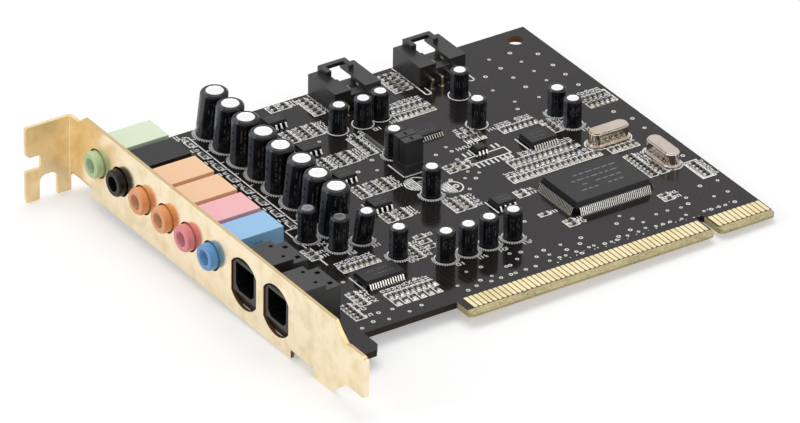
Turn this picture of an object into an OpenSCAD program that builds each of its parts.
// Full-height expansion sound card, lying component side up.
// Board coordinates: X runs along the edge contacts away from the bracket,
// Y runs from the edge contacts to the back edge, Z=0 is the component face.

/* [Board] */
// Thickness of the circuit board
board_t = 1.57; // [1.2:0.01:2]
// Distance from X=0, one pitch before the first contact, to the right edge
board_right = 79.55; // [79.4:0.05:100]
// Distance from the top of the contacts to the back edge
board_back = 93.05; // [92.6:0.05:115]
// How far the contact tongue stands out in front of the contacts' top
tongue_depth = 6.4; // [5.8:0.1:8]
// Left edge of the contact tongue
tongue_left = -1.2; // [-3:0.1:0]
// Width of the step beside the tongue's top
front_step = 0.6; // [0.2:0.1:1]
// Width of the leg beside the bracket
leg_w = 14.0; // [13:0.1:16]
// How far the leg reaches in front of the contacts' top
leg_depth = 8.0; // [7:0.1:10]
// Chamfer on the leg's corner
leg_chamfer = 2.0; // [0.5:0.1:3]
// Width of the keying notch
key_w = 1.9; // [1.7:0.05:2.1]
// How far the keying notch runs past the contacts' top
key_depth = 1.5; // [0.5:0.1:2]
// Diameter of the mounting hole
mount_hole_d = 4.0; // [3:0.1:4.4]
// Distance of the mounting hole from the right edge
mount_hole_dx = 5.05; // [4:0.05:8]
// Distance of the mounting hole from the back edge
mount_hole_dy = 4.45; // [4:0.05:8]

/* [Edge contacts] */
// Pitch of the edge contacts
contact_pitch = 1.27; // [1.27]
// Number of contact positions, with the key
contact_positions = 62; // [62]
// First contact position that the key takes up
key_position = 50; // [50]
// Width of one contact
contact_w = 1.0; // [0.8:0.01:1.1]
// Length of one contact
contact_l = 4.6; // [4:0.1:5]
// Thickness of the contact plating
contact_t = 0.05; // [0.03:0.01:0.1]

/* [Bracket] */
// Sheet thickness of the bracket
sheet_t = 0.86; // [0.7:0.01:1]
// Width of the bracket's plate
plate_w = 18.42; // [18:0.01:19]
// Height of the plate's upper edge over the component face
plate_top = 14.32; // [14:0.01:15]
// Distance from X=0 to the plate's outer face
plate_x = 40.5; // [40:0.05:44]
// Overall length of the bracket
bracket_l = 120.02; // [119:0.01:150]
// Distance from the top of the contacts to the tongue's tip
tip_depth = 23.88; // [23:0.01:25]
// Depth of the fixing tab
tab_depth = 11.43; // [11:0.01:12]
// Width of the fixing tab
tab_w = 18.95; // [18.5:0.05:19.5]
// How far the tab's upper edge lies below the plate's
tab_drop = 2.27; // [2:0.01:3]
// Width of the screw slot in the tab
screw_slot_w = 4.65; // [4.4:0.05:4.8]
// Width of the bracket's tongue
end_w = 10.19; // [10:0.01:10.4]
// Inside bend radius of the sheet
bend_r = 0.4; // [0.2:0.05:0.5]
// How far the tongue is set in from the plate
jog = 0.5; // [0.3:0.05:0.8]
// Gap round a jack's barrel in its opening
barrel_gap = 0.4; // [0.2:0.05:0.8]
// Height of the openings for the optical ports
port_hole_h = 12.3; // [11.8:0.1:12.6]
// Width of the openings for the optical ports
port_hole_w = 10.0; // [9.8:0.1:10.6]
// Length of one fixing lug
lug_w = 7.5; // [6.5:0.1:8]
// Height of the raised, tapped boss on a lug
lug_boss_h = 0.5; // [0.3:0.05:0.7]
// How far the lugs reach under the board
lug_reach = 7.5; // [7:0.1:9]

/* [Bracket screws] */
// Nominal diameter of the bracket screws
screw_d = 3.0; // [2.5:0.1:3]
// Diameter of the screw heads
screw_head_d = 5.2; // [4.5:0.1:5.2]
// Height of the screw heads
screw_head_h = 1.8; // [1.4:0.1:2.2]

/* [Audio jacks] */
// Pitch of the jacks
jack_pitch = 9.4; // [9.2:0.05:9.8]
// Distance from the contacts' top to the first jack
jack_y = 36.6; // [36.2:0.1:37]
// Width of a jack's block
jack_w = 8.0; // [7.6:0.1:9]
// Height of a jack's block
jack_h = 9.8; // [9.4:0.1:10.6]
// Depth of a jack's block
jack_l = 15.0; // [14:0.1:16]
// Height of the barrel's axis over the board
jack_axis = 5.45; // [5.2:0.05:5.6]
// Outside diameter of the barrel
barrel_d = 6.2; // [6:0.1:6.4]
// How far the barrel stands out of the bracket
barrel_out = 1.95; // [1.5:0.05:2.5]
// Diameter of the plug bore
plug_bore_d = 3.6; // [3.55:0.01:3.7]
// Depth of the plug bore
plug_bore_l = 15.0; // [14:0.1:16]

/* [Optical ports] */
// Pitch of the optical ports
port_pitch = 12.85; // [12.4:0.05:13.2]
// Distance from the contacts' top to the first port
port_y = 10.65; // [10.3:0.05:11]
// Width of an optical port's housing
port_w = 9.3; // [9:0.1:9.7]
// Height of an optical port's housing
port_h = 10.45; // [10:0.05:11]
// Depth of an optical port's housing behind the plate
port_l = 12.8; // [12:0.1:13.5]
// Depth of the low step at the housing's rear
port_step_l = 3.85; // [3.5:0.05:4.2]
// Height of the low step at the housing's rear
port_step_h = 9.1; // [8.8:0.1:9.3]
// Width of the cavity that takes the optical plug
port_cavity_w = 7.2; // [7:0.1:7.6]
// Height of the cavity that takes the optical plug
port_cavity_h = 6.8; // [6.4:0.1:7]
// Height of the cavity's centre over the board
port_axis = 5.4; // [5.2:0.1:5.8]

/* [Electrolytic capacitors] */
// Diameter of a large capacitor
large_cap_d = 6.5; // [6.2:0.1:6.8]
// Height of a large capacitor
large_cap_h = 11.3; // [10.5:0.1:14]
// Pitch of the row of large capacitors
large_cap_pitch = 7.2; // [7:0.1:7.3]
// Number of large capacitors
large_cap_count = 8; // [8]
// Distance from the contacts' top to the first large capacitor
large_cap_y = 39.4; // [39.2:0.1:39.6]
// Distance from X=0 to the row of large capacitors
large_cap_x = -7.4; // [-8:0.1:-7]
// Diameter of a small capacitor
small_cap_d = 4.3; // [4:0.1:4.5]
// Height of a small capacitor
small_cap_h = 7.2; // [5:0.1:9]

/* [Internal headers] */
// Width of an audio header's housing
header_w = 12.4; // [12.4:0.1:13]
// Depth of an audio header's housing
header_l = 11.2; // [10.6:0.1:11.6]
// Height of an audio header's housing
header_h = 5.25; // [5:0.05:6]
// Wall of an audio header's housing
header_wall = 0.9; // [0.7:0.05:1]
// Height of the latch loop over the housing
loop_rise = 1.45; // [1.2:0.05:2]
// Pitch of all header pins
pin_pitch = 2.54; // [2.54]
// Side of the square header pins
pin_side = 0.64; // [0.6:0.01:0.7]
// Height of a jumper cap
jumper_cap_h = 6.0; // [5.2:0.1:7]
// Height of the jumper header's base
jumper_base_h = 2.5; // [2.3:0.1:2.8]

/* [Integrated circuits] */
// Length of the audio controller's body
controller_l = 20; // [19.6:0.1:20.2]
// Width of the audio controller's body
controller_w = 14; // [13.6:0.1:14.2]
// Height of the audio controller
controller_h = 3.0; // [2.6:0.1:3.4]
// Pitch of the audio controller's leads
controller_pitch = 0.5; // [0.5]

/* [Crystals] */
// Length of a crystal can
crystal_l = 10.1; // [9.6:0.1:10.3]
// Width of a crystal can
crystal_w = 3.75; // [3.6:0.05:3.9]
// Height of a crystal can
crystal_h = 3.6; // [3.4:0.1:4.2]

/* [Hidden] */
$fn = 48;
// Gap between parts that only pass each other
gap = 0.2;
// Gap round the nose of an optical port in its opening
nose_gap = 0.35;
// Clearance round a lead or a pin in its hole
lead_gap = 0.1;
// Overlap that makes a cut run clean through
cut = 0.5;
// Reach of the leads below the board
lead_tail = 1.6;
// Where the plate starts to step in towards its tongue, and where the step ends
jog_start = -14.5;
jog_end = -17.5;
plate_out = -plate_x;
plate_in = plate_out + sheet_t;
plate_bottom = plate_top - plate_w;
tip_y = -tip_depth;
tab_out_y = tip_y + bracket_l;
tab_in_y = tab_out_y - sheet_t;
tab_end_x = plate_out - tab_depth;
tab_top = plate_top - tab_drop;
tab_bottom = tab_top - tab_w;
board_left = plate_in + 0.4;
leg_right = board_left + leg_w;
fit_x = -(tab_end_x + board_right) / 2;
fit_y = -(tip_y + tab_out_y) / 2;
fit_z = -tab_bottom;
key_x = (key_position + 0.5) * contact_pitch;
mount_hole = [board_right - mount_hole_dx, board_back - mount_hole_dy];
jack_front = plate_in + gap;
jack_count = 6;
// Middles of the two lugs, the upper one under the board and clear of the tab's bend
lug_ys = [0.35, min(board_back - 2.3, tab_out_y - 5.39)];
lug_top = -board_t - lug_boss_h;
lug_bottom = lug_top - sheet_t;
lug_screw_x = plate_in + 4.6;
screw_l = screw_head_h - lug_bottom + 0.9;
barrel_hole_d = barrel_d + 2 * barrel_gap;
// Contact pins of one jack, as offsets from its front in X and from its axis in Y
jack_pin_xs = [3.0, 7.4, 7.4, 11.2, 11.2];
jack_pin_ys = [0, -2.9, 2.9, -2.9, 2.9];
jack_strip_t = 0.3;
jack_strip_w = 1.2;
jack_tail_w = 0.8;
// Nibs of the contacts, which end just outside the bore
nib_w = 0.8;
nib_h = 0.5;
nib_gap = 0.05;
// Pins of one optical port, as an offset from the plate in X and from its axis in Y
port_pin_x = 10.9;
port_pin_ys = [-2.54, 0, 2.54];
port_pin_d = 0.5;
// Height of the middle of an optical port's opening
port_hole_z = 4.75;
port_cavity_l = 8.0;
crystal_lead_d = 0.45;
// Height of the headers' pins over the board
header_pin_z = 2.2;
large_lead_pitch = 2.5;
large_lead_d = 0.6;
small_lead_pitch = 1.5;
small_lead_d = 0.5;
// Small capacitors: x, y and how much higher than the usual height
small_caps = [
    [-14.0, 39.3, 0.7], [-10.3, 32.5, 0.7], [-4.1, 32.5, 0.3], [-1.0, 22.7, 0.2],
    [6.9, 16.0, 0], [12.7, 15.9, 0], [18.3, 16.1, 0], [24.5, 15.9, 0],
    [19.6, 40.7, 0.2], [22.2, 59.8, -0.3], [17.6, 75.7, -0.5], [24.0, 75.1, -0.4], [29.0, 75.8, -0.4],
    [49.5, 74.4, -0.5], [45.5, 61.3, -0.4], [63.6, 56.1, -0.6], [63.7, 50.0, -0.4]];
header_xs = [27.0, 49.9];
header_front = board_back - 0.1 - header_l;
header_pin_y = header_front - 1.5;
header_pins = 4;
jumper_x = 21.45;
jumper_y = 52.88;
jumper_cap_l = 4.9;
jumper_cap_w = 2.25;
jumper_pin_top = jumper_base_h + jumper_cap_h - 0.8;
// Side of the square holes that take the pins
pin_hole = pin_side + lead_gap;
controller = [51.6, 23.2];
amplifier_x = 6.9;
amplifier_y = 42.5;
amplifier_pitch = 2 * large_cap_pitch;
crystal_centres = [[66.3, 39.6], [72.15, 26.65]];
crystal_turns = [0, 90];
crystal_lead_pitch = 4.88;
// Rows of chip parts: x, y, columns, rows, column pitch, row pitch, turn
resistor_fields = [
    [6.8, 76.6, 1, 4, 1.4, 1.35, 0], [10.4, 76.6, 2, 4, 2.8, 1.35, 0],
    [6.8, 62.2, 1, 4, 1.4, 1.35, 0], [10.4, 62.2, 2, 4, 2.8, 1.35, 0],
    [6.8, 47.8, 1, 4, 1.4, 1.35, 0], [10.4, 47.8, 2, 4, 2.8, 1.35, 0],
    [6.0, 35.9, 2, 3, 3.6, 1.35, 0], [10.4, 90.6, 2, 2, 2.8, 1.35, 0],
    [18.3, 63.0, 1, 6, 1.4, 1.5, 0], [32.2, 73.0, 7, 2, 1.45, 3.0, 90],
    [42.2, 42.3, 13, 1, 1.4, 3.0, 90], [42.2, 39.2, 12, 1, 1.4, 3.0, 90],
    [66.2, 21.6, 1, 8, 2.2, 1.35, 0], [72.0, 54.8, 5, 2, 1.35, 2.7, 90],
    [76.2, 15.3, 1, 5, 1.4, 1.4, 0], [49.0, 55.8, 7, 1, 1.35, 3.0, 90],
    [-12.4, 8.9, 9, 1, 1.4, 3.0, 90], [-22.6, 5.0, 1, 5, 1.4, 1.4, 0],
    [-14.6, 23.8, 7, 1, 1.4, 2.6, 90]];
capacitor_fields = [
    [18.0, 84.2, 1, 5, 1.4, 1.7, 0], [21.4, 63.0, 1, 5, 1.4, 1.6, 90],
    [39.0, 83.2, 2, 5, 1.9, 1.8, 0], [29.5, 46.7, 2, 2, 2.4, 2.0, 0],
    [21.2, 31.6, 2, 4, 2.5, 1.5, 0], [38.5, 36.2, 16, 1, 1.5, 3.0, 90],
    [64.5, 35.4, 5, 1, 1.5, 3.0, 90], [68.6, 21.6, 1, 4, 2.2, 1.5, 0],
    [39.6, 56.4, 3, 2, 1.9, 2.0, 90], [59.0, 49.4, 1, 4, 1.4, 1.6, 0],
    [-12.4, 6.1, 6, 1, 2.1, 3.0, 90], [-18.7, 9.4, 1, 4, 1.4, 1.6, 0],
    [-17.0, 31.2, 1, 3, 1.4, 1.8, 0], [2.4, 19.6, 1, 5, 1.4, 1.5, 0],
    [7.2, 22.0, 1, 3, 1.4, 2.4, 0], [-13.9, 46.0, 1, 8, 1.4, 6.0, 90],
    [35.9, 20.2, 1, 1, 1.4, 1.4, 0], [38.8, 13.3, 1, 2, 1.4, 1.6, 0],
    [62.9, 11.2, 1, 2, 1.4, 1.8, 0], [36.6, 29.6, 1, 2, 1.4, 1.6, 0]];
chip_l = 1.6;
chip_w = 0.8;
chip_h = 0.5;
black = [0.05, 0.05, 0.06];
green_tint = [0.66, 0.83, 0.64];
orange_tint = [0.95, 0.66, 0.42];
pink_tint = [0.90, 0.52, 0.57];
blue_tint = [0.42, 0.66, 0.88];
silver = [0.78, 0.76, 0.72];
gold = [0.90, 0.82, 0.58];

function jack_centre(i) = jack_y + jack_pitch * i;
function port_centre(i) = port_y + port_pitch * i;

// Moves board coordinates to the part's frame, centred on its base
module seat() {
    translate([fit_x, fit_y, fit_z])
        children();
}

// Straight lead or pin down through the board
module lead(x, y, d, top) {
    translate([x, y, -board_t - lead_tail])
        cylinder(d = d, h = board_t + lead_tail + top, $fn = 16);
}

// Hole in the board for a round lead
module lead_hole(x, y, d) {
    translate([x, y, -board_t - cut])
        cylinder(d = d + 2 * lead_gap, h = board_t + 2 * cut, $fn = 24);
}

// Square pin between two heights
module square_pin(x, y, bottom, top) {
    translate([x - pin_side / 2, y - pin_side / 2, bottom])
        cube([pin_side, pin_side, top - bottom]);
}

// Hole in the board for a square pin
module square_pin_hole(x, y) {
    lead_hole(x, y, pin_side * sqrt(2));
}

// Outline of the board, with leg, tongue and keying notch
module board_outline() {
    corner = 0.8;
    difference() {
        polygon([
            [board_left, -leg_depth],
            [leg_right - leg_chamfer * 0.75, -leg_depth],
            [leg_right, -leg_depth + leg_chamfer],
            [leg_right, -front_step],
            [tongue_left, -front_step],
            [tongue_left, -tongue_depth + corner],
            [tongue_left + corner, -tongue_depth],
            [board_right - corner, -tongue_depth],
            [board_right, -tongue_depth + corner],
            [board_right, board_back],
            [board_left, board_back]]);
        translate([key_x - key_w / 2, -tongue_depth - cut])
            square([key_w, tongue_depth + cut + key_depth - key_w / 2]);
        translate([key_x, -tongue_depth])
            polygon([
                [-key_w / 2 - corner - cut, -cut],
                [key_w / 2 + corner + cut, -cut],
                [key_w / 2 - cut, corner + cut],
                [cut - key_w / 2, corner + cut]]);
        translate([key_x, key_depth - key_w / 2])
            circle(d = key_w, $fn = 32);
    }
}

// Wedge that bevels one face of the tongue's edge
module tongue_bevel() {
    bevel_l = 1.7;
    bevel_h = 0.5;
    translate([tongue_left - cut, -tongue_depth, 0])
        rotate([90, 0, 90])
            linear_extrude(board_right - tongue_left + 2 * cut)
                polygon([[-cut, cut], [bevel_l, cut], [bevel_l, 0], [0, -bevel_h], [-cut, -bevel_h]]);
}

module circuit_board() {
    color([0.11, 0.11, 0.12])
        difference() {
            translate([0, 0, -board_t])
                linear_extrude(board_t)
                    board_outline();
            tongue_bevel();
            translate([0, 0, -board_t])
                mirror([0, 0, 1])
                    tongue_bevel();
            lead_hole(mount_hole[0], mount_hole[1], mount_hole_d - 2 * lead_gap);
            for (y = lug_ys)
                lead_hole(lug_screw_x, y, screw_d + 0.2);
            for (i = [0 : large_cap_count - 1])
                for (s = [-0.5, 0.5])
                    lead_hole(
                        large_cap_x + s * large_lead_pitch,
                        large_cap_y + i * large_cap_pitch, large_lead_d);
            for (c = small_caps)
                for (s = [-0.5, 0.5])
                    lead_hole(c[0] + s * small_lead_pitch, c[1], small_lead_d);
            for (i = [0 : jack_count - 1])
                for (k = [0 : len(jack_pin_xs) - 1])
                    lead_hole(
                        jack_front + jack_pin_xs[k],
                        jack_centre(i) + jack_pin_ys[k], jack_tail_w + lead_gap);
            for (i = [0, 1])
                for (y = port_pin_ys)
                    lead_hole(plate_in + port_pin_x, port_centre(i) + y, port_pin_d);
            for (x = header_xs)
                for (k = [0 : header_pins - 1])
                    square_pin_hole(x + (k - 1.5) * pin_pitch, header_pin_y);
            for (sx = [-0.5, 0.5])
                for (sy = [-0.5, 0.5])
                    square_pin_hole(jumper_x + sx * pin_pitch, jumper_y + sy * pin_pitch);
            for (i = [0, 1])
                for (s = [-0.5, 0.5])
                    lead_hole(
                        crystal_centres[i][0] + s * crystal_lead_pitch * cos(crystal_turns[i]),
                        crystal_centres[i][1] + s * crystal_lead_pitch * sin(crystal_turns[i]),
                        crystal_lead_d);
        }
}

module edge_contacts() {
    color(gold)
        for (n = [1 : contact_positions])
            if (n < key_position || n > key_position + 1)
                for (z = [0, -board_t - contact_t])
                    translate([n * contact_pitch - contact_w / 2, -contact_l, z])
                        cube([contact_w, contact_l, contact_t]);
}

// Bent strip of the bracket seen from above: tab, plate and set-in tongue
module bracket_strip() {
    outer_r = bend_r + sheet_t;
    difference() {
        union() {
            translate([tab_end_x, tab_in_y])
                square([plate_in - outer_r - tab_end_x, sheet_t]);
            translate([plate_out, jog_start])
                square([sheet_t, tab_out_y - outer_r - jog_start]);
            intersection() {
                translate([plate_in - outer_r, tab_out_y - outer_r])
                    circle(r = outer_r, $fn = 48);
                translate([plate_in - outer_r, tab_out_y - outer_r])
                    square(outer_r);
            }
            polygon([
                [plate_out, jog_start], [plate_in, jog_start],
                [plate_in + jog, jog_end], [plate_out + jog, jog_end]]);
            translate([plate_out + jog, tip_y])
                square([sheet_t, jog_end - tip_y]);
        }
        translate([plate_in - outer_r, tab_out_y - outer_r])
            circle(r = bend_r, $fn = 32);
    }
}

// Outline of the plate seen from outside, in Y and Z
module plate_outline() {
    end_mid = plate_top - plate_w / 2;
    end_top = end_mid + end_w / 2;
    end_bottom = end_mid - end_w / 2;
    end_r = 1.5;
    top_taper = [-12.6, -16.4];
    bottom_taper = [-11.4, -16.4];
    tab_corner = 3.6;
    tab_slope = 2.6;
    nick = 0.6;
    nick_rise = 0.9;
    difference() {
        union() {
            polygon([
                [top_taper[0], plate_top], [top_taper[1], end_top], [jog_end - 0.1, end_top],
                [jog_end - 0.1, end_bottom], [bottom_taper[1], end_bottom],
                [bottom_taper[0], plate_bottom], [lug_ys[1], plate_bottom],
                [lug_ys[1], lug_bottom], [tab_out_y, lug_bottom],
                [tab_out_y, tab_top], [tab_in_y - tab_corner, tab_top],
                [tab_in_y - tab_corner - tab_slope, plate_top]]);
            translate([tip_y + end_r, end_bottom])
                square([jog_end - tip_y - end_r, end_w]);
            translate([tip_y, end_bottom + end_r])
                square([end_r + cut, end_w - 2 * end_r]);
            for (z = [end_bottom + end_r, end_top - end_r])
                translate([tip_y + end_r, z])
                    circle(r = end_r, $fn = 32);
        }
        for (y = lug_ys)
            for (s = [-1, 1])
                translate([y + s * (lug_w + nick) / 2 - nick / 2, plate_bottom - cut])
                    square([nick, lug_bottom + nick_rise - plate_bottom + cut]);
        for (y = lug_ys)
            translate([y - lug_w / 2, plate_bottom - cut])
                square([lug_w, lug_bottom + bend_r + sheet_t - plate_bottom + cut]);
    }
}

// Outline of the fixing tab seen from the board's side, in X and Z
module tab_outline() {
    notch_right = tab_end_x + 3.85;
    notch_top = tab_top - 7.7;
    notch_bottom = tab_top - 11.1;
    hook = 0.9;
    slot_left = tab_end_x + 3.5;
    slot_top = tab_top - 13.05;
    slot_r = 1.7;
    difference() {
        polygon([
            [plate_in, tab_top], [tab_end_x + 0.3, tab_top], [tab_end_x, tab_top - 0.3],
            [tab_end_x, tab_bottom + 0.4], [tab_end_x + 0.4, tab_bottom],
            [plate_out, tab_bottom], [plate_out, lug_bottom], [plate_in, lug_bottom]]);
        polygon([
            [tab_end_x - cut, notch_top + hook + cut], [tab_end_x + hook, notch_top],
            [notch_right - 0.6, notch_top], [notch_right, notch_top - 0.6],
            [notch_right, notch_bottom], [tab_end_x + 0.4, notch_bottom],
            [tab_end_x - cut, notch_bottom - 0.5]]);
        translate([slot_left, tab_bottom - cut])
            square([screw_slot_w, slot_top - slot_r - tab_bottom + cut]);
        translate([slot_left + slot_r, slot_top - slot_r - cut])
            square([screw_slot_w - 2 * slot_r, slot_r + cut]);
        for (x = [slot_left + slot_r, slot_left + screw_slot_w - slot_r])
            translate([x, slot_top - slot_r])
                circle(r = slot_r, $fn = 32);
    }
}

// Bore for a jack barrel through the plate
module barrel_hole(y) {
    translate([plate_out - cut, y, jack_axis])
        rotate([0, 90, 0])
            cylinder(d = barrel_hole_d, h = sheet_t + 2 * cut);
}

// Round opening with two flat sides for an optical port
module port_hole(y) {
    intersection() {
        translate([plate_out - cut, y, port_hole_z])
            rotate([0, 90, 0])
                cylinder(d = port_hole_h, h = sheet_t + 2 * cut, $fn = 64);
        translate([plate_out - cut, y - port_hole_w / 2, port_hole_z - port_hole_h])
            cube([sheet_t + 2 * cut, port_hole_w, 2 * port_hole_h]);
    }
}

// Lug that turns in under the board, with a tapped boss
module lug(y) {
    outer_r = bend_r + sheet_t;
    difference() {
        union() {
            translate([plate_out, y + lug_w / 2, lug_bottom])
                rotate([90, 0, 0])
                    linear_extrude(lug_w)
                        difference() {
                            union() {
                                translate([outer_r, 0])
                                    square([sheet_t + lug_reach - outer_r, sheet_t]);
                                translate([0, outer_r])
                                    square([sheet_t, 0.5]);
                                intersection() {
                                    translate([outer_r, outer_r])
                                        circle(r = outer_r, $fn = 48);
                                    square(outer_r);
                                }
                            }
                            translate([outer_r, outer_r])
                                circle(r = bend_r, $fn = 32);
                        }
            translate([lug_screw_x, y, lug_top - 0.01])
                cylinder(d = screw_d + 2, h = lug_boss_h + 0.01, $fn = 32);
        }
        translate([lug_screw_x, y, lug_bottom - cut])
            cylinder(d = screw_d + 0.1, h = sheet_t + lug_boss_h + 2 * cut, $fn = 32);
    }
}

module bracket() {
    color([0.91, 0.84, 0.66])
        difference() {
            union() {
                intersection() {
                    translate([0, 0, tab_bottom - cut])
                        linear_extrude(plate_top - tab_bottom + 2 * cut)
                            bracket_strip();
                    union() {
                        translate([plate_out - bend_r - 0.01, 0, 0])
                            rotate([90, 0, 90])
                                linear_extrude(sheet_t + jog + bend_r + 0.02)
                                    plate_outline();
                        translate([0, tab_out_y + cut, 0])
                            rotate([90, 0, 0])
                                linear_extrude(sheet_t + bend_r + cut)
                                    tab_outline();
                    }
                }
                for (y = lug_ys)
                    lug(y);
            }
            for (i = [0 : jack_count - 1])
                barrel_hole(jack_centre(i));
            for (i = [0, 1])
                port_hole(port_centre(i));
        }
}

module bracket_screws() {
    color(silver)
        for (y = lug_ys)
            translate([lug_screw_x, y, 0])
                difference() {
                    union() {
                        cylinder(d = screw_head_d, h = screw_head_h);
                        translate([0, 0, screw_head_h - screw_l])
                            cylinder(d = screw_d, h = screw_l - 0.1, $fn = 32);
                    }
                    for (a = [0, 90])
                        rotate([0, 0, a])
                            translate([-1.5, -0.35, screw_head_h - 1])
                                cube([3, 0.7, 1 + cut]);
                }
}

// Upper end of contact strip k: the side strips pass the bore, the middle one ends under it
function contact_top(k) =
    jack_pin_ys[k] == 0 ? jack_axis - plug_bore_d / 2 - nib_gap - nib_h : jack_axis + 1;

// One contact strip with its nib towards the bore, grown by a margin
module contact_strip(k, margin) {
    side = sign(jack_pin_ys[k]);
    nib_r = plug_bore_d / 2 + nib_gap;
    translate([-jack_strip_w / 2 - margin, jack_pin_ys[k] - jack_strip_t / 2 - margin, 0])
        cube([jack_strip_w + 2 * margin, jack_strip_t + 2 * margin, contact_top(k) + margin]);
    if (side == 0)
        translate([-nib_w / 2 - margin, -jack_strip_t / 2 - margin, contact_top(k) - 0.01])
            cube([nib_w + 2 * margin, jack_strip_t + 2 * margin, nib_h + 0.01 + margin]);
    else
        translate([
            -nib_w / 2 - margin,
            side > 0 ? nib_r - margin : jack_pin_ys[k],
            jack_axis - nib_w / 2 - margin])
            cube([nib_w + 2 * margin, abs(jack_pin_ys[k]) - nib_r + margin, nib_w + 2 * margin]);
}

// One coloured jack, numbered from the optical ports to the tab
module jack(i, tint) {
    y = jack_centre(i);
    chamfer_l = 0.4;
    chamfer_d = 0.6;
    color(tint)
        difference() {
            union() {
                translate([jack_front, y - jack_w / 2, 0])
                    cube([jack_l, jack_w, jack_h]);
                translate([plate_out - barrel_out + chamfer_l, y, jack_axis])
                    rotate([0, 90, 0])
                        cylinder(d = barrel_d, h = barrel_out + sheet_t + gap);
                translate([plate_out - barrel_out, y, jack_axis])
                    rotate([0, 90, 0])
                        cylinder(d1 = barrel_d - chamfer_d, d2 = barrel_d, h = chamfer_l);
            }
            translate([plate_out - barrel_out - cut, y, jack_axis])
                rotate([0, 90, 0])
                    cylinder(d = plug_bore_d, h = plug_bore_l + cut);
            for (k = [0 : len(jack_pin_xs) - 1])
                translate([jack_front + jack_pin_xs[k], y, 0]) {
                    contact_strip(k, lead_gap);
                    translate([
                        -jack_strip_w / 2 - lead_gap,
                        jack_pin_ys[k] - jack_strip_t / 2 - lead_gap, -cut])
                        cube([jack_strip_w + 2 * lead_gap, jack_strip_t + 2 * lead_gap, 2 * cut]);
                }
        }
}

module jack_contacts() {
    color(silver)
        for (i = [0 : jack_count - 1])
            for (k = [0 : len(jack_pin_xs) - 1])
                translate([jack_front + jack_pin_xs[k], jack_centre(i), 0]) {
                    contact_strip(k, 0);
                    translate([-jack_tail_w / 2, jack_pin_ys[k] - jack_strip_t / 2, -board_t - lead_tail])
                        cube([jack_tail_w, jack_strip_t, board_t + lead_tail]);
                }
}

// One optical port's housing, open to the front
module optical_port(i) {
    y = port_centre(i);
    nose_w = port_hole_w - 2 * nose_gap;
    nose_out = sheet_t - 0.3;
    cavity_r = port_cavity_w / 2;
    cavity_top = port_cavity_h / 2;
    cavity_corner = 1.2;
    recess_w = 6.4;
    top_holes = 2.5;
    round_hole_d = 0.9;
    square_hole = 1.1;
    top_hole_l = 0.8;
    color(black)
        difference() {
            union() {
                translate([plate_in + gap, y - port_w / 2, 0])
                    cube([port_l - gap - port_step_l, port_w, port_h]);
                translate([plate_in + port_l - port_step_l - 0.01, y - port_w / 2 + 0.15, 0])
                    cube([port_step_l + 0.01, port_w - 0.3, port_step_h]);
                intersection() {
                    translate([plate_in - nose_out, y - nose_w / 2, port_axis - port_cavity_h / 2 - 0.7])
                        cube([nose_out + gap + 0.01, nose_w, port_cavity_h + 1.6]);
                    translate([plate_in - nose_out - cut, y, port_hole_z])
                        rotate([0, 90, 0])
                            cylinder(d = port_hole_h - 2 * nose_gap, h = nose_out + 2 * cut, $fn = 64);
                }
            }
            translate([plate_in - nose_out - cut, y, port_axis])
                rotate([90, 0, 90])
                    linear_extrude(port_cavity_l + nose_out + cut)
                        polygon([
                            [-cavity_r, cavity_top],
                            [-cavity_r, cavity_corner - cavity_top],
                            [cavity_corner - cavity_r, -cavity_top],
                            [cavity_r - cavity_corner, -cavity_top],
                            [cavity_r, cavity_corner - cavity_top],
                            [cavity_r, cavity_top]]);
            translate([plate_in + port_cavity_l - cut, y, port_axis])
                rotate([0, 90, 0])
                    cylinder(d = 2.8, h = port_l - port_cavity_l - 1, $fn = 32);
            translate([plate_in + port_cavity_l + 1.2, y - recess_w / 2, -cut])
                cube([port_l - port_cavity_l - 2.1, recess_w, port_axis + 2.6 + cut]);
            for (s = [-1, 1]) {
                translate([plate_in + port_l - port_step_l - 1.3, y + s * top_holes, port_h - top_hole_l])
                    cylinder(d = round_hole_d, h = top_hole_l + cut, $fn = 24);
                translate([
                    plate_in + port_l - 2,
                    y + s * top_holes - square_hole / 2, port_step_h - top_hole_l])
                    cube([square_hole, square_hole, top_hole_l + cut]);
            }
        }
}

// Emitter and receiver packages, with their leads
module optical_elements() {
    body_w = 5.8;
    body_h = 4.8;
    color([0.25, 0.25, 0.27])
        for (i = [0, 1])
            translate([plate_in, port_centre(i), 0]) {
                translate([port_cavity_l + 1.6, -body_w / 2, port_axis - body_h / 2])
                    cube([port_l - port_cavity_l - 2.9, body_w, body_h]);
                translate([port_cavity_l + 0.3, 0, port_axis])
                    rotate([0, 90, 0])
                        cylinder(d = 2.2, h = 1.4, $fn = 32);
                for (y = port_pin_ys)
                    lead(port_pin_x, y, port_pin_d, port_axis - body_h / 2 + 0.1);
            }
}

// Sleeved can on a rubber bung, with a rolled shoulder and a sunk top
module electrolytic(d, h, lead_d, lead_pitch) {
    r = d / 2;
    shoulder = 0.12 * d;
    top_sink = 0.25;
    color([0.08, 0.08, 0.10]) {
        rotate_extrude($fn = 64)
            union() {
                polygon([
                    [0, 0.15], [r - 0.6, 0.15], [r - 0.6, 0], [r - 0.2, 0], [r, 0.25],
                    [r, h - shoulder], [r - shoulder, h - shoulder], [r - shoulder, h],
                    [r - shoulder - 0.25, h], [r - shoulder - 0.4, h - top_sink], [0, h - top_sink]]);
                intersection() {
                    translate([r - shoulder, h - shoulder])
                        circle(r = shoulder, $fn = 48);
                    translate([r - shoulder, h - shoulder])
                        square(shoulder);
                }
            }
        for (s = [-0.5, 0.5])
            lead(s * lead_pitch, 0, lead_d, 0.5);
    }
}

module large_capacitor(i) {
    translate([large_cap_x, large_cap_y + (large_cap_count - i) * large_cap_pitch, 0])
        electrolytic(large_cap_d, large_cap_h, large_lead_d, large_lead_pitch);
}

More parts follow.
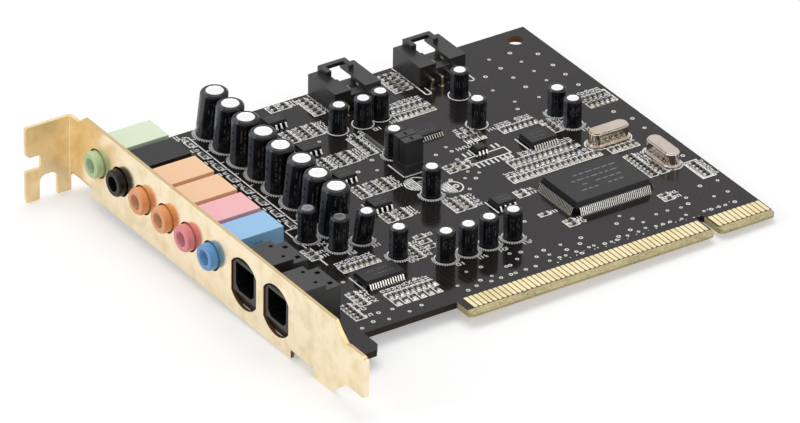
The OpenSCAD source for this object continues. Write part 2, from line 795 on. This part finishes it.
module small_capacitor(i) {
    translate([small_caps[i - 1][0], small_caps[i - 1][1], 0])
        electrolytic(small_cap_d, small_cap_h + small_caps[i - 1][2], small_lead_d, small_lead_pitch);
}

// Moulded body with drafted sides, whose bottom lies at the standoff
module moulded_body(l, w, h, standoff) {
    draft = 0.12 * h;
    mid = (h + standoff) / 2;
    intersection() {
        rotate([90, 0, 0])
            linear_extrude(w + 1, center = true)
                polygon([
                    [-l / 2 + draft, standoff], [l / 2 - draft, standoff], [l / 2, mid],
                    [l / 2 - draft, h], [draft - l / 2, h], [-l / 2, mid]]);
        rotate([90, 0, 90])
            linear_extrude(l + 1, center = true)
                polygon([
                    [-w / 2 + draft, standoff], [w / 2 - draft, standoff], [w / 2, mid],
                    [w / 2 - draft, h], [draft - w / 2, h], [-w / 2, mid]]);
    }
}

// Row of gull-wing leads along X, that leave the body at Y=0 towards -Y
module lead_row(count, pitch, width, height, reach) {
    t = 0.15;
    inset = 0.25;
    shoulder = 0.3 * reach;
    toe = 0.65 * reach;
    for (k = [0 : count - 1])
        translate([(k - (count - 1) / 2) * pitch - width / 2, 0, 0])
            rotate([90, 0, 90])
                linear_extrude(width)
                    polygon([
                        [inset, height + t / 2], [-shoulder, height + t / 2], [-toe, t],
                        [-reach, t], [-reach, 0], [t / 2 - toe, 0],
                        [t / 2 - shoulder, height - t / 2], [inset, height - t / 2]]);
}

// Gull-wing package with leads on its two long sides
module two_row_package(l, w, h, count, pitch, lead_w, reach) {
    standoff = 0.1;
    color(black)
        moulded_body(l, w, h, standoff);
    color(silver)
        for (a = [0, 180])
            rotate([0, 0, a])
                translate([0, -w / 2, 0])
                    lead_row(count, pitch, lead_w, (h + standoff) / 2, reach);
}

module audio_controller() {
    standoff = 0.25;
    mid = (controller_h + standoff) / 2;
    long_count = 38;
    short_count = 26;
    reach = 1.6;
    lead_w = 0.22;
    translate([controller[0], controller[1], 0]) {
        color(black)
            moulded_body(controller_l, controller_w, controller_h, standoff);
        color(silver) {
            for (a = [0, 180])
                rotate([0, 0, a])
                    translate([0, -controller_w / 2, 0])
                        lead_row(long_count, controller_pitch, lead_w, mid, reach);
            for (a = [90, 270])
                rotate([0, 0, a])
                    translate([0, -controller_l / 2, 0])
                        lead_row(short_count, controller_pitch, lead_w, mid, reach);
        }
    }
}

module codec_chip() {
    translate([-9.9, 16.8, 0])
        two_row_package(10.2, 5.3, 1.9, 14, 0.65, 0.3, 1.2);
}

module converter_chip() {
    translate([52.9, 47.6, 0])
        two_row_package(7.2, 5.3, 1.9, 10, 0.65, 0.3, 1.2);
}

module buffer_chip() {
    translate([33.3, 64.0, 0])
        two_row_package(6.5, 4.4, 1.15, 10, 0.65, 0.25, 1.0);
}

module output_amplifier(i) {
    translate([amplifier_x, amplifier_y + (i - 1) * amplifier_pitch, 0])
        two_row_package(4.9, 3.9, 1.6, 4, 1.27, 0.42, 1.05);
}

module memory_chip() {
    translate([30.5, 28.85, 0])
        two_row_package(4.9, 3.9, 1.6, 4, 1.27, 0.42, 1.05);
}

module voltage_regulator() {
    translate([39.2, 50.9, 0]) {
        color(black)
            moulded_body(2.9, 2.6, 1.5, 0.1);
        color(silver)
            for (a = [0, 180])
                rotate([0, 0, a])
                    translate([0, -1.3, 0])
                        lead_row(a == 0 ? 3 : 1, 0.95, 0.4, 0.8, 0.75);
    }
}

// Metal can with round ends on a wider flange
module crystal(i) {
    flange_l = crystal_l + 0.95;
    flange_w = crystal_w + 0.9;
    standoff = 0.1;
    shoulder = 0.25;
    color([0.80, 0.76, 0.72])
        translate([crystal_centres[i][0], crystal_centres[i][1], 0])
            rotate([0, 0, crystal_turns[i]]) {
                can(flange_l, flange_w, standoff, 0.5);
                can(crystal_l, crystal_w, standoff, crystal_h - 0.35);
                can(crystal_l - 2 * shoulder, crystal_w - 2 * shoulder, standoff, crystal_h);
                for (s = [-0.5, 0.5])
                    lead(s * crystal_lead_pitch, 0, crystal_lead_d, 0.3);
            }
}

// Upright solid with two flat and two round sides
module can(l, w, bottom, top) {
    translate([0, 0, bottom])
        linear_extrude(top - bottom) {
            square([l - w, w], center = true);
            for (s = [-0.5, 0.5])
                translate([s * (l - w), 0])
                    circle(d = w, $fn = 48);
        }
}

// Right-angle audio header's housing, with its mouth at the back edge
module audio_header_housing(i) {
    back = header_front + header_l;
    window_w = 4.6;
    window_l = 5.4;
    channel_w = 3.7;
    loop_w = 7.35;
    loop_l = 3.8;
    loop_bar = 1.3;
    channel_h = 1.4;
    color(black)
        translate([header_xs[i], 0, 0])
            difference() {
                union() {
                    translate([-header_w / 2, header_front, 0])
                        cube([header_w, header_l, header_h]);
                    translate([-loop_w / 2, back - loop_l, header_h - 0.01])
                        cube([loop_w, loop_l, loop_rise + 0.01]);
                }
                translate([header_wall - header_w / 2, header_front + 2.6, header_wall])
                    cube([header_w - 2 * header_wall, header_l, header_h - 2 * header_wall]);
                translate([-window_w / 2, back - window_l, header_wall + 1])
                    cube([
                        window_w, window_l + cut,
                        header_h + loop_rise - loop_bar + 0.3 - header_wall - 1]);
                translate([-window_w / 2, back - loop_l - cut, header_h - 1])
                    cube([window_w, loop_l + cut - loop_bar, loop_rise + 2]);
                translate([-channel_w / 2, header_front - cut, header_h - channel_h])
                    cube([channel_w, header_l - window_l + 2 * cut, channel_h + cut]);
                for (k = [0 : header_pins - 1])
                    translate([
                        (k - 1.5) * pin_pitch - pin_hole / 2, header_front - cut,
                        header_pin_z - pin_hole / 2])
                        cube([pin_hole, 3.2 + 2 * cut, pin_hole]);
            }
}

module audio_header_pins(i) {
    reach = 6.2;
    color(gold)
        for (k = [0 : header_pins - 1])
            translate([header_xs[i] + (k - 1.5) * pin_pitch, header_pin_y, 0]) {
                square_pin(0, 0, -board_t - lead_tail, header_pin_z + pin_side / 2);
                translate([-pin_side / 2, 0, header_pin_z - pin_side / 2])
                    cube([pin_side, header_front - header_pin_y + reach, pin_side]);
            }
}

module jumper_header() {
    side = 2 * pin_pitch - 0.1;
    color(black)
        translate([jumper_x, jumper_y, 0])
            difference() {
                translate([-side / 2, -side / 2, 0])
                    cube([side, side, jumper_base_h]);
                for (sx = [-0.5, 0.5])
                    for (sy = [-0.5, 0.5])
                        translate([sx * pin_pitch - pin_hole / 2, sy * pin_pitch - pin_hole / 2, -cut])
                            cube([pin_hole, pin_hole, jumper_base_h + 2 * cut]);
            }
}

module jumper_pins() {
    color(gold)
        for (sx = [-0.5, 0.5])
            for (sy = [-0.5, 0.5])
                square_pin(
                    jumper_x + sx * pin_pitch, jumper_y + sy * pin_pitch,
                    -board_t - lead_tail, jumper_pin_top);
}

module jumper_caps() {
    color(black)
        for (sy = [-0.5, 0.5])
            translate([jumper_x, jumper_y + sy * pin_pitch, jumper_base_h])
                difference() {
                    translate([-jumper_cap_l / 2, -jumper_cap_w / 2, 0])
                        cube([jumper_cap_l, jumper_cap_w, jumper_cap_h]);
                    for (sx = [-0.5, 0.5])
                        translate([sx * pin_pitch - pin_hole / 2, -pin_hole / 2, -cut])
                            cube([pin_hole, pin_hole, jumper_pin_top - jumper_base_h + cut + 0.1]);
                    translate([-0.25, -0.6, jumper_cap_h - 0.4])
                        cube([0.5, 1.2, 0.4 + cut]);
                }
}

// All chip parts of a list of fields
module chips(fields, tint) {
    color(tint)
        for (f = fields)
            for (c = [0 : f[2] - 1])
                for (r = [0 : f[3] - 1])
                    translate([f[0] + c * f[4], f[1] + r * f[5], 0])
                        rotate([0, 0, f[6]])
                            translate([-chip_l / 2, -chip_w / 2, 0])
                                cube([chip_l, chip_w, chip_h]);
}

module chip_resistors() {
    chips(resistor_fields, [0.12, 0.12, 0.13]);
}

module chip_capacitors() {
    chips(capacitor_fields, [0.62, 0.52, 0.40]);
}

seat() circuit_board();
seat() edge_contacts();
seat() bracket();
seat() bracket_screws();
seat() jack(5, green_tint);  // line_out_jack
seat() jack(4, [0.14, 0.14, 0.15]);  // rear_out_jack
seat() jack(3, orange_tint);  // center_out_jack
seat() jack(2, orange_tint);  // side_out_jack
seat() jack(1, pink_tint);  // microphone_jack
seat() jack(0, blue_tint);  // line_in_jack
seat() jack_contacts();
seat() optical_port(1);  // optical_output_port
seat() optical_port(0);  // optical_input_port
seat() optical_elements();
for (i = [1 : large_cap_count])
    seat() large_capacitor(i);
for (i = [1 : len(small_caps)])
    seat() small_capacitor(i);
seat() audio_controller();
seat() codec_chip();
seat() converter_chip();
seat() buffer_chip();
for (i = [1 : 4])
    seat() output_amplifier(i);
seat() memory_chip();
seat() voltage_regulator();
for (i = [1 : 2])
    seat() crystal(i - 1);
for (i = [1 : 2])
    seat() audio_header_housing(i - 1);
for (i = [1 : 2])
    seat() audio_header_pins(i - 1);
seat() jumper_header();
seat() jumper_pins();
seat() jumper_caps();
seat() chip_resistors();
seat() chip_capacitors();
